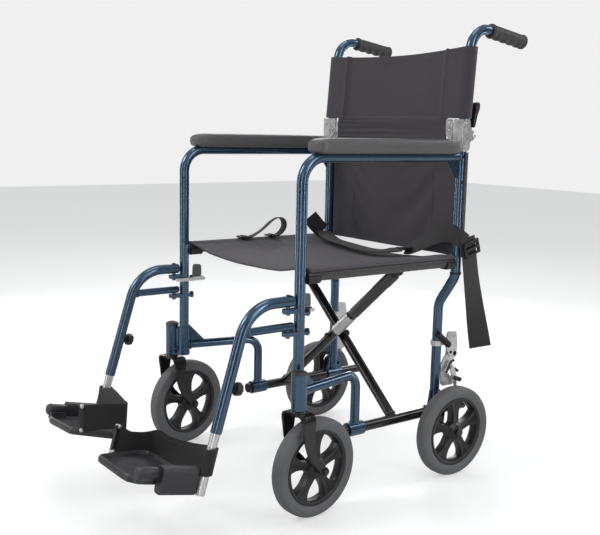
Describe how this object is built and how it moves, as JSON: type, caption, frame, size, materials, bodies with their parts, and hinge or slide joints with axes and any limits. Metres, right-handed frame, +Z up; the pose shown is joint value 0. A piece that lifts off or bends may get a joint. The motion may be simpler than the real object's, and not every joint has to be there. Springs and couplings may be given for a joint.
{
  "type": "transport wheelchair",
  "caption": "Folding transport wheelchair with tubular side frames, X-brace, cloth seat and back, swing-away footrests, push handles and swivelling front casters.",
  "frame": {"origin": "on the floor, under the middle of the whole chair's bounding box; the plane midway between the side frames lies at X = +5.45 mm because the casters stand turned", "axes": "+X to the sitter's left, +Y to the rear (the sitter faces -Y), +Z up"},
  "size_m": [0.5868, 0.963, 0.9887],
  "materials": {
    "frame_blue": "metallic blue gloss paint",
    "black_steel": "satin black paint",
    "black_plastic": "matte moulded",
    "slate_plastic": "matte moulded, dark slate",
    "silver_metal": "bright plated",
    "tyre": "grey solid tyre",
    "rim": "moulded satin black",
    "grip": "ribbed",
    "arm_pad": "grained grey vinyl",
    "cloth": "woven nylon, charcoal",
    "webbing": "woven webbing, black"
  },
  "bodies": {
    "left_frame": {"side_frame_left": "frame_blue", "caster_cap_left": "black_plastic", "seat_cradle_front_left": "black_plastic", "seat_cradle_rear_left": "black_plastic", "arm_pad_left": "arm_pad", "rear_axle_left": "silver_metal", "back_hinge_bracket_left": "silver_metal", "brake_bracket_left": "silver_metal", "back_lower": "cloth", "belt_left": "webbing", "belt_buckle": "black_plastic"},
    "brace_a": {"brace_a": "black_steel", "brace_pivot_bolt": "silver_metal", "seat_sling": "cloth", "belt_right": "webbing"},
    "brace_b": {"brace_b": "black_steel", "brace_sleeve": "silver_metal"},
    "right_frame": {"side_frame_right": "frame_blue", "caster_cap_right": "black_plastic", "seat_cradle_front_right": "black_plastic", "seat_cradle_rear_right": "black_plastic", "arm_pad_right": "arm_pad", "rear_axle_right": "silver_metal", "back_hinge_bracket_right": "silver_metal", "brake_bracket_right": "silver_metal"},
    "caster_left": {"caster_fork_left": "black_steel"},
    "front_wheel_left": {"front_tyre_left": "tyre", "front_rim_left": "rim"},
    "rear_wheel_left": {"rear_tyre_left": "tyre", "rear_rim_left": "rim"},
    "back_cane_left": {"upper_cane_left": "frame_blue", "grip_left": "grip", "back_upper": "cloth"},
    "back_release_left": {"back_release_lever_left": "black_plastic"},
    "hanger_left": {"hanger_left": "frame_blue"},
    "hanger_latch_left": {"hanger_latch_left": "silver_metal"},
    "extension_left": {"footrest_extension_left": "silver_metal", "footplate_clamp_left": "slate_plastic", "heel_loop_left": "cloth"},
    "height_knob_left": {"height_knob_left": "black_plastic"},
    "footplate_left": {"footplate_left": "slate_plastic"},
    "brake_lever_left": {"brake_lever_left": "black_plastic"},
    "brake_pawl_left": {"brake_pawl_left": "silver_metal"},
    "caster_right": {"caster_fork_right": "black_steel"},
    "front_wheel_right": {"front_tyre_right": "tyre", "front_rim_right": "rim"},
    "rear_wheel_right": {"rear_tyre_right": "tyre", "rear_rim_right": "rim"},
    "back_cane_right": {"upper_cane_right": "frame_blue", "grip_right": "grip"},
    "back_release_right": {"back_release_lever_right": "black_plastic"},
    "hanger_right": {"hanger_right": "frame_blue"},
    "hanger_latch_right": {"hanger_latch_right": "silver_metal"},
    "extension_right": {"footrest_extension_right": "silver_metal", "footplate_clamp_right": "slate_plastic", "heel_loop_right": "cloth"},
    "height_knob_right": {"height_knob_right": "black_plastic"},
    "footplate_right": {"footplate_right": "slate_plastic"},
    "brake_lever_right": {"brake_lever_right": "black_plastic"},
    "brake_pawl_right": {"brake_pawl_right": "silver_metal"}
  },
  "joints": [
    {"name": "fold", "type": "hinge", "parent": "left_frame", "child": "brace_a", "pos_m": [0.19045, 0.1548, 0.13], "axis": [0, 1, 0], "range_deg": [0, 38], "deforming": ["seat_sling", "back_upper", "back_lower", "belt_right", "belt_left"]},
    {"name": "brace_cross", "type": "hinge", "parent": "brace_a", "child": "brace_b", "pos_m": [0.00545, 0.1468, 0.28619], "axis": [0, 1, 0], "range_deg": [-76, 0]},
    {"name": "right_rail_turn", "type": "hinge", "parent": "brace_b", "child": "right_frame", "pos_m": [-0.17955, 0.1248, 0.13], "axis": [0, 1, 0], "range_deg": [0, 38]},
    {"name": "caster_swivel_left", "type": "hinge", "parent": "left_frame", "child": "caster_left", "pos_m": [0.25845, -0.1469, 0.26], "axis": [0, 0, 1], "continuous": true},
    {"name": "front_wheel_spin_left", "type": "hinge", "parent": "caster_left", "child": "front_wheel_left", "pos_m": [0.25442, -0.10409, 0.1], "axis": [0.9956, 0.0939, 0], "continuous": true},
    {"name": "rear_wheel_spin_left", "type": "hinge", "parent": "left_frame", "child": "rear_wheel_left", "pos_m": [0.25145, 0.2862, 0.1], "axis": [1, 0, 0], "continuous": true},
    {"name": "back_fold_left", "type": "hinge", "parent": "left_frame", "child": "back_cane_left", "pos_m": [0.23145, 0.3118, 0.75], "axis": [-1, 0, 0], "range_deg": [0, 120]},
    {"name": "back_release_left", "type": "hinge", "parent": "back_cane_left", "child": "back_release_left", "pos_m": [0.23145, 0.3218, 0.769], "axis": [-1, 0, 0], "range_deg": [0, 20]},
    {"name": "hanger_swing_left", "type": "hinge", "parent": "left_frame", "child": "hanger_left", "pos_m": [0.23145, -0.1572, 0.4], "axis": [0, 0, 1], "range_deg": [0, 90]},
    {"name": "hanger_latch_left", "type": "hinge", "parent": "left_frame", "child": "hanger_latch_left", "pos_m": [0.21745, -0.1522, 0.407], "axis": [0, 0, 1], "range_deg": [0, 18]},
    {"name": "extension_slide_left", "type": "slide", "parent": "hanger_left", "child": "extension_left", "axis": [0.0084, -0.2904, -0.9569], "range_m": [0, 0.04]},
    {"name": "height_knob_turn_left", "type": "hinge", "parent": "hanger_left", "child": "height_knob_left", "pos_m": [0.23373, -0.29168, 0.28544], "axis": [0, 0.9569, -0.2904], "continuous": true},
    {"name": "footplate_flip_left", "type": "hinge", "parent": "extension_left", "child": "footplate_left", "pos_m": [0.21945, -0.4332, 0.146], "axis": [0, 0.9741, -0.226], "range_deg": [0, 90], "deforming": ["heel_loop_left"]},
    {"name": "brake_lever_left", "type": "hinge", "parent": "left_frame", "child": "brake_lever_left", "pos_m": [0.20845, 0.3148, 0.262], "axis": [1, 0, 0], "range_deg": [0, 40]},
    {"name": "brake_pawl_left", "type": "hinge", "parent": "left_frame", "child": "brake_pawl_left", "pos_m": [0.21245, 0.3118, 0.232], "axis": [-1, 0, 0], "range_deg": [0, 8]},
    {"name": "caster_swivel_right", "type": "hinge", "parent": "right_frame", "child": "caster_right", "pos_m": [-0.24755, -0.1469, 0.26], "axis": [0, 0, 1], "continuous": true},
    {"name": "front_wheel_spin_right", "type": "hinge", "parent": "caster_right", "child": "front_wheel_right", "pos_m": [-0.25423, -0.10442, 0.1], "axis": [0.9879, 0.1554, 0], "continuous": true},
    {"name": "rear_wheel_spin_right", "type": "hinge", "parent": "right_frame", "child": "rear_wheel_right", "pos_m": [-0.24055, 0.2862, 0.1], "axis": [1, 0, 0], "continuous": true},
    {"name": "back_fold_right", "type": "hinge", "parent": "right_frame", "child": "back_cane_right", "pos_m": [-0.22055, 0.3118, 0.75], "axis": [-1, 0, 0], "range_deg": [0, 120]},
    {"name": "back_release_right", "type": "hinge", "parent": "back_cane_right", "child": "back_release_right", "pos_m": [-0.22055, 0.3218, 0.769], "axis": [-1, 0, 0], "range_deg": [0, 20]},
    {"name": "hanger_swing_right", "type": "hinge", "parent": "right_frame", "child": "hanger_right", "pos_m": [-0.22055, -0.1572, 0.4], "axis": [0, 0, -1], "range_deg": [0, 90]},
    {"name": "hanger_latch_right", "type": "hinge", "parent": "right_frame", "child": "hanger_latch_right", "pos_m": [-0.20655, -0.1522, 0.407], "axis": [0, 0, -1], "range_deg": [0, 18]},
    {"name": "extension_slide_right", "type": "slide", "parent": "hanger_right", "child": "extension_right", "axis": [-0.0084, -0.2904, -0.9569], "range_m": [0, 0.04]},
    {"name": "height_knob_turn_right", "type": "hinge", "parent": "hanger_right", "child": "height_knob_right", "pos_m": [-0.22283, -0.29168, 0.28544], "axis": [0, 0.9569, -0.2904], "continuous": true},
    {"name": "footplate_flip_right", "type": "hinge", "parent": "extension_right", "child": "footplate_right", "pos_m": [-0.20855, -0.4332, 0.146], "axis": [0, -0.9741, 0.226], "range_deg": [0, 90], "deforming": ["heel_loop_right"]},
    {"name": "brake_lever_right", "type": "hinge", "parent": "right_frame", "child": "brake_lever_right", "pos_m": [-0.19755, 0.3148, 0.262], "axis": [1, 0, 0], "range_deg": [0, 40]},
    {"name": "brake_pawl_right", "type": "hinge", "parent": "right_frame", "child": "brake_pawl_right", "pos_m": [-0.20155, 0.3118, 0.232], "axis": [-1, 0, 0], "range_deg": [0, 8]}
  ],
  "couplings": [
    {"joint": "brace_cross", "follows": "fold", "ratio": -2},
    {"joint": "right_rail_turn", "follows": "fold", "ratio": 1},
    {"joint": "brake_pawl_left", "follows": "brake_lever_left", "ratio": 0.2},
    {"joint": "footplate_flip_left", "follows": "fold", "ratio": 2.368},
    {"joint": "brake_pawl_right", "follows": "brake_lever_right", "ratio": 0.2},
    {"joint": "footplate_flip_right", "follows": "fold", "ratio": 2.368},
    {"joint": "back_fold_right", "follows": "back_fold_left", "ratio": 1}
  ]
}
